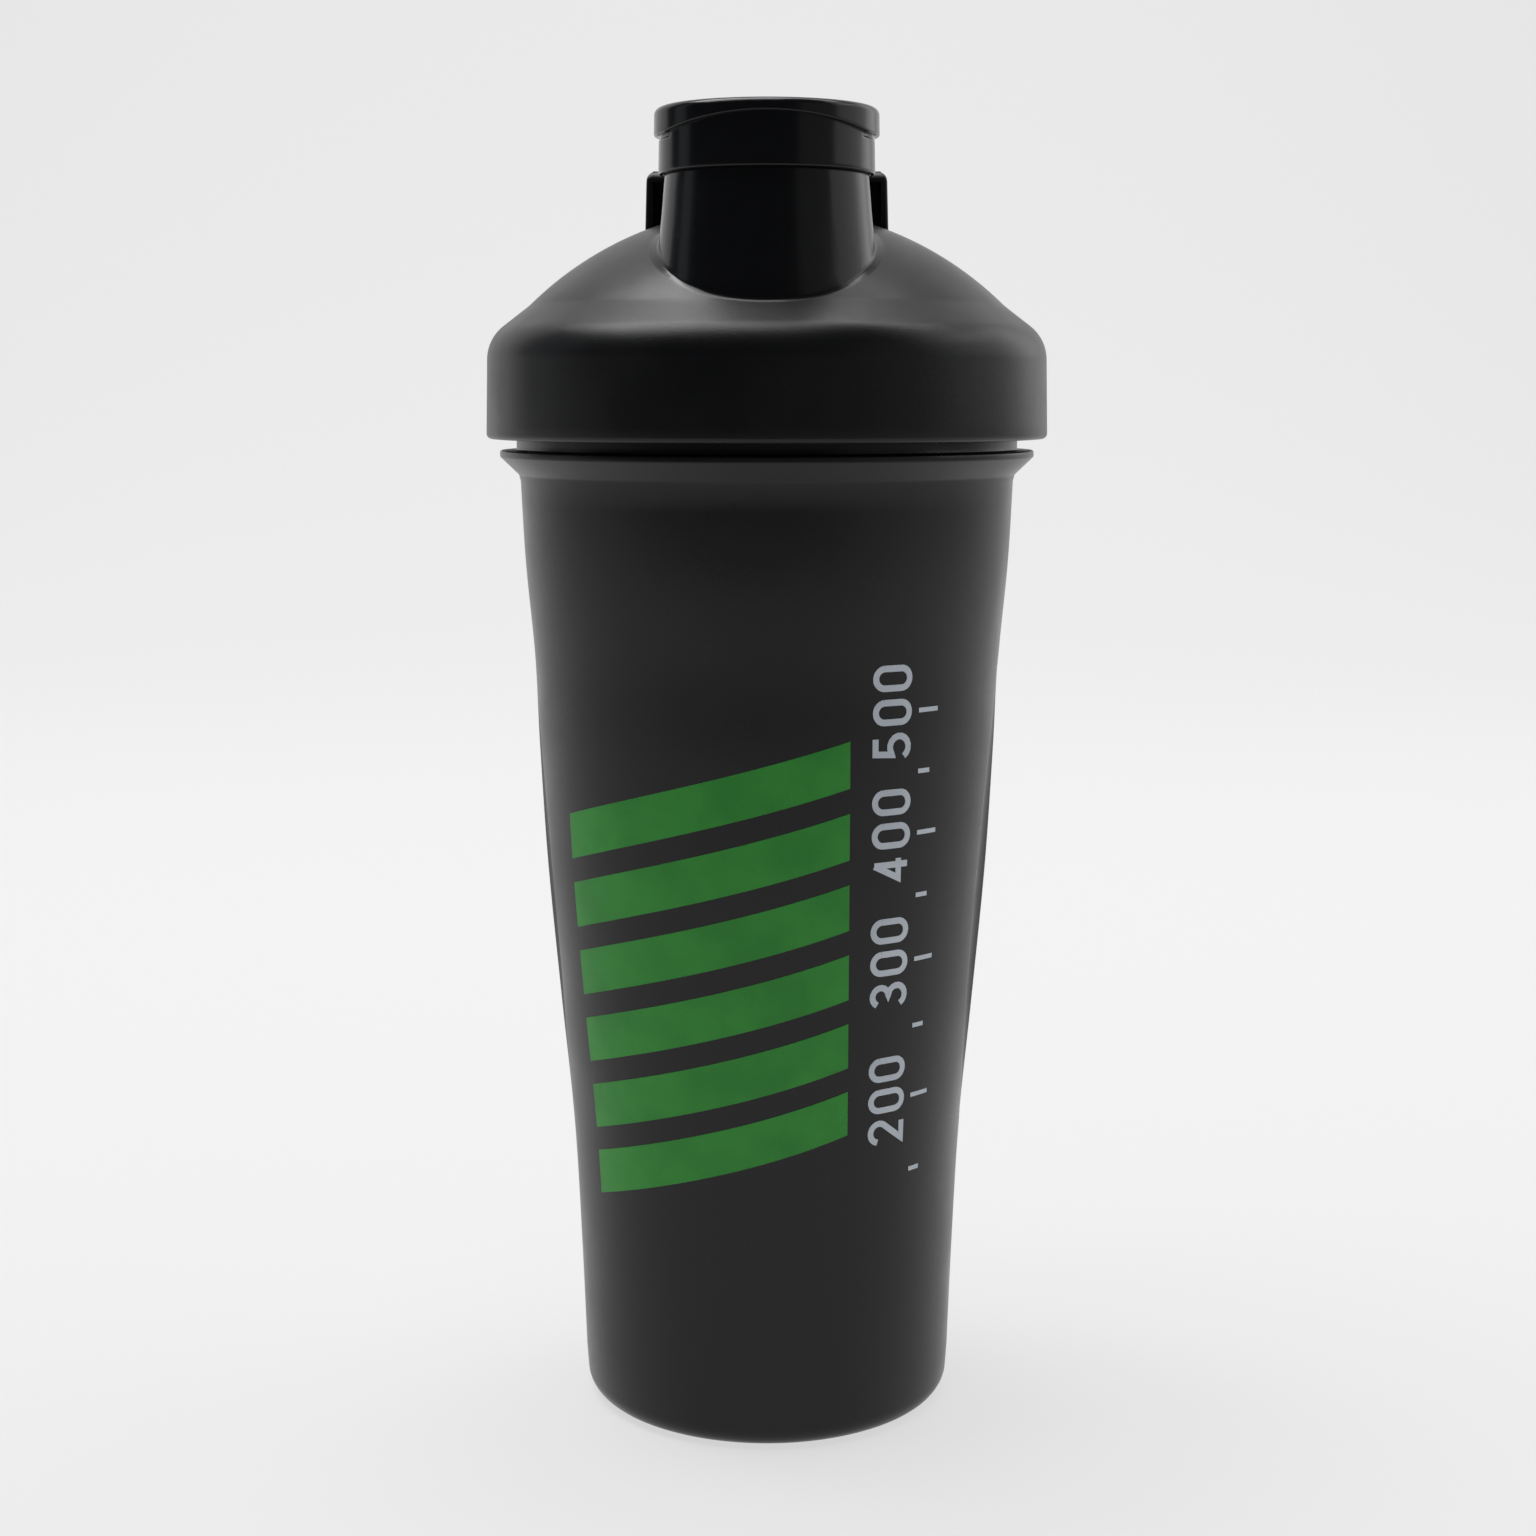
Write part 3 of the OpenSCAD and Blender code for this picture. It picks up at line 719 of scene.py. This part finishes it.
# ---------------------------------------------------------------- flip cap
def build_cap():
    """The cap's section turned about the spout's axis, with the disc's lower edge arched in front."""
    corner = math.asin(ARCH_W / DISC_R)
    sides = [-np.pi / 2 - corner, -np.pi / 2 + corner]
    direction = np.unique(np.concatenate([np.linspace(-np.pi, np.pi, 384, endpoint=False), sides]))
    across = DISC_R * np.cos(direction)
    arch_r = (ARCH_W**2 + ARCH_H**2) / (2 * ARCH_H)
    rise = np.sqrt(np.maximum(arch_r**2 - across**2, 0)) - arch_r + ARCH_H
    arch = np.where(np.sin(direction) < 0, np.maximum(rise, 0), 0)
    groove = 0.35 * (1 - smooth_step(0.0, 0.12, arch))
    edge = DISC_Z + arch
    rim_in, top_round = RIM_R - SPOUT_T, 1.2
    end = 90 - math.degrees(math.atan(2 * CROWN_H * (DISC_R - top_round) / DISC_R**2))
    round_end = DISC_R - 0.05 - top_round * (1 - math.cos(math.radians(end)))
    round_z = CAP_TOP - CROWN_H * (round_end / DISC_R) ** 2 - top_round * math.sin(math.radians(end))
    rows = []

    def add(r, z):
        """Adds a ring of radius r about the spout's axis at height z."""
        x, y = ring_about_spout(r + 0 * direction, direction)
        rows.append(np.stack([x, y, z + 0 * x], -1))

    for r, z in ((CAP_R - 0.95, CAP_Z + 0.5), (CAP_R - 0.85, CAP_Z + 0.12), (CAP_R - 0.65, CAP_Z)):
        add(r, z)
    for r, z in arc(CAP_R - 0.35, CAP_Z + 0.35, 0.35, -90, 0, 4):
        add(r, z)
    for t in np.linspace(0, 1, 12)[1:]:
        add(CAP_R - 0.1 * t, CAP_Z + 0.4 + (edge - 0.75 - CAP_Z - 0.4) * t)
    for pull, drop in ((0.6, 0.55), (1.0, 0.45), (1.0, 0.12), (0.6, 0.04)):
        add(CAP_R - 0.1 - groove * pull, edge - drop)
    for r, z in arc(DISC_R - 0.3, 0.3, 0.3, -90, 0, 4):
        add(r, edge + z)
    for t in np.linspace(0, 1, 8)[1:]:
        add(DISC_R - 0.05 * t, edge + 0.3 + (round_z - edge - 0.3) * t)
    for r, z in arc(DISC_R - 0.05 - top_round, round_z, top_round, 10, end, 8):
        add(r, z)
    for r in np.linspace(round_end - 0.6, 1.0, 12):
        add(r, CAP_TOP - CROWN_H * (r / DISC_R) ** 2)
    top = len(rows)
    for r, z in ((1.0, DISC_Z - 1), (rim_in - 1.6, DISC_Z - 1), (rim_in - 1.75, DISC_Z - 1.2),
                 (rim_in - 2.4, CAP_Z - 0.3), (rim_in - 2.2, CAP_Z - 0.4), (rim_in - 1.4, CAP_Z - 0.4),
                 (rim_in - 1.2, CAP_Z - 0.3), (rim_in - 0.25, SPOUT_Z - 0.8), (rim_in - 0.25, SPOUT_Z + 0.05),
                 (CAP_R - 1.0, SPOUT_Z + 0.05)):
        add(r, z)
    rows = rows[top - 1::-1] + rows[:top - 1:-1]
    points = np.array(rows)
    # The outside runs from the top's middle down to the skirt's edge, and the inside back to the middle.
    cap = make_piece("cap_shell", points[:, ::-1], CAP_PLASTIC, "cap", sharp=50,
                     poles=((0, -SPOUT_Y, CAP_TOP), (0, -SPOUT_Y, DISC_Z - 1)))
    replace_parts(cap, "flip_cap")


def strap_loop():
    """Closed YZ outline of the strap, from under the disc over the bend to the knuckle and back."""
    cy, cz = HINGE_Y - STRAP_BEND, HINGE_Z - 0.4
    outer = STRAP_BEND + STRAP_T
    end = -SPOUT_Y + 8
    return chain(arc(cy, cz, outer, 0, 90, 24),
                 line((cy - 1, cz + outer), (end, cz + outer), 8),
                 line((end, cz + STRAP_BEND), (cy - 1, cz + STRAP_BEND), 8),
                 arc(cy, cz, STRAP_BEND, 90, 0, 20))


def build_strap():
    """The outline carried across X and drawn in by a quarter round at both sides, and the knuckle."""
    loop = strap_loop()
    ahead, behind = np.roll(loop, -1, 0), np.roll(loop, 1, 0)
    along = ahead - behind
    normal = np.stack([along[:, 1], -along[:, 0]], -1) / np.linalg.norm(along, axis=1)[:, None]
    bend = 0.7
    a = np.radians(np.linspace(0, 90, 6))
    x = np.concatenate([-(STRAP_W - bend) - bend * np.cos(a), (STRAP_W - bend) + bend * np.cos(a[::-1])])
    inset = np.concatenate([bend * (1 - np.sin(a)), bend * (1 - np.sin(a[::-1]))])
    yz = loop[None] - normal[None] * inset[:, None, None]
    points = np.concatenate([np.broadcast_to(x[:, None, None], yz.shape[:2] + (1,)), yz], -1)
    mesh = bpy.data.meshes.new("cap_strap")
    rows, cols = points.shape[:2]
    i, j = np.meshgrid(np.arange(rows - 1), np.arange(cols), indexing="ij")
    right = (j + 1) % cols
    quads = np.stack([i * cols + j, i * cols + right, (i + 1) * cols + right, (i + 1) * cols + j], -1)
    faces = quads.reshape(-1, 4).tolist()
    faces += [list(range(cols - 1, -1, -1)), list(range((rows - 1) * cols, rows * cols))]
    mesh.from_pydata(points.reshape(-1, 3) * MM, [], faces)
    strap = finish_piece("cap_strap", mesh, CAP_PLASTIC, "cap")
    rod("cap_knuckle", KNUCKLE_R, STRAP_W, 0.5, CAP_PLASTIC, "cap", bore=KNUCKLE_BORE)


def rod(name, radius, half, bevel, material, body, bore=0.0):
    """A round rod on the hinge's axis with rounded ends, or a tube where it has a bore."""
    angle = np.linspace(0, TURN, 64, endpoint=False)[None, :]
    core = bore or radius * 0.3
    end = arc(half - bevel, radius - bevel, bevel, 0, 90, 4)
    outline = chain((half, core), end, end[::-1] * (-1, 1), (-half, core))
    x, r = outline.T[:, :, None]
    points = np.stack([x + 0 * angle, HINGE_Y + r * np.cos(angle), HINGE_Z + r * np.sin(angle)], -1)
    poles = (None, None) if bore else ((-half, HINGE_Y, HINGE_Z), (half, HINGE_Y, HINGE_Z))
    piece = make_piece(name, points[::-1], material, body, wrap_rows=bore > 0, poles=poles)
    return piece


build_cap()
build_strap()
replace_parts(rod("pin_rod", PIN_R, EAR_W + 0.2, 0.35, PIN_PLASTIC, "lid"), "hinge_pin")


# ---------------------------------------------------------------- inside parts that keep their CAD shape
for node, material in (("lid_seal", SEAL_SILICONE), ("mixing_grid", GRID_PLASTIC)):
    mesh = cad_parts[node].data
    mesh.materials.clear()
    mesh.materials.append(material)


# ---------------------------------------------------------------- studio
def build_floor():
    """A pale sweep: a level floor that curves up far behind the bottle."""
    front, bend, back = -0.75, 0.9, 1.8
    a = np.radians(np.linspace(8, 90, 14))
    rise = back - bend
    y = np.concatenate([np.linspace(front, bend, 12), bend + rise * np.sin(a), [back]])
    z = np.concatenate([np.zeros(12), rise - rise * np.cos(a), [3.0]])
    x = np.linspace(-3, 3, 9)
    points = np.stack(np.broadcast_arrays(x[None, :], y[:, None], z[:, None]), -1)
    rows, cols = points.shape[:2]
    i, j = np.meshgrid(np.arange(rows - 1), np.arange(cols - 1), indexing="ij")
    corner = i * cols + j
    quads = np.stack([corner, corner + 1, corner + cols + 1, corner + cols], -1)
    mesh = bpy.data.meshes.new("floor")
    mesh.from_pydata(points.reshape(-1, 3), [], quads.reshape(-1, 4).tolist())
    mesh.polygons.foreach_set("use_smooth", np.ones(len(mesh.polygons), bool))
    glow = (0.635, 0.635, 0.635, 1)
    paper = Finish("floor_paper", Base_Color=(0.15, 0.15, 0.15, 1),
                   Emission_Color=glow, Emission_Strength=1.0)
    mesh.materials.append(paper.feed(Roughness=paper.noise(4) * 0.05 + 0.85))
    floor = bpy.data.objects.new("floor", mesh)
    bpy.context.scene.collection.objects.link(floor)


def add_panel(name, place, target, size, radiance, tint=(1, 1, 1)):
    """A rectangular softbox that faces a target. Its power is pi times its area times its radiance."""
    light = bpy.data.lights.new(name, "AREA")
    light.shape = "RECTANGLE"
    light.size, light.size_y = size
    light.energy = radiance * math.pi * size[0] * size[1]
    light.color = tint
    lamp = bpy.data.objects.new(name, light)
    lamp.location = place
    lamp.rotation_euler = (Vector(place) - Vector(target)).to_track_quat("Z", "Y").to_euler()
    bpy.context.scene.collection.objects.link(lamp)


def add_side_panel(name, start, end, distance, low, high, radiance, tint=(1, 1, 1)):
    """An upright softbox that fills the azimuths from start to end degrees, 0 in front and + to the right."""
    middle, half = math.radians((start + end) / 2), math.radians((end - start) / 2)
    place = (distance * math.sin(middle), -distance * math.cos(middle), (low + high) / 2)
    size = (2 * distance * math.tan(half), high - low)
    add_panel(name, place, (0, 0, place[2]), size, radiance, tint)


def build_studio():
    """Camera, soft boxes and a dim surround."""
    camera = bpy.data.cameras.new("camera")
    camera.sensor_width, camera.lens = 36.0, 57.75
    camera.clip_start, camera.clip_end = 0.01, 20
    eye = bpy.data.objects.new("camera", camera)
    eye.location = (0.0002, -0.440, 0.1829)
    eye.rotation_euler = (math.radians(90 - 8.72), 0, 0)
    bpy.context.scene.collection.objects.link(eye)
    bpy.context.scene.camera = eye
    cool = (0.92, 0.96, 1.0)
    add_panel("key_top", (-0.34, 0.05, 1.4), (0, 0, 0.1), (0.85, 1.2), 5.2)
    add_panel("back_wash", (0, 0.6, 2.2), (0, 1.8, 0.6), (3.0, 0.8), 5.0)
    add_side_panel("left_strip", -104, -88, 0.9, 0.12, 0.8, 0.36, cool)
    add_side_panel("right_front", 33, 72, 1.0, 0.12, 0.8, 0.2)
    add_side_panel("right_side", 74, 140, 1.0, 0.22, 1.0, 0.95)
    add_panel("right_high", (0.85, 0.1, 0.95), (0, 0, 0.2), (0.5, 0.5), 1.3)
    world = bpy.data.worlds.new("surround")
    bpy.context.scene.world = world
    world.use_nodes = True
    world.node_tree.nodes["Background"].inputs["Color"].default_value = (0.8, 0.88, 1.0, 1)
    world.node_tree.nodes["Background"].inputs["Strength"].default_value = 0.07


build_floor()
build_studio()
bpy.context.scene.view_settings.view_transform = "Standard"
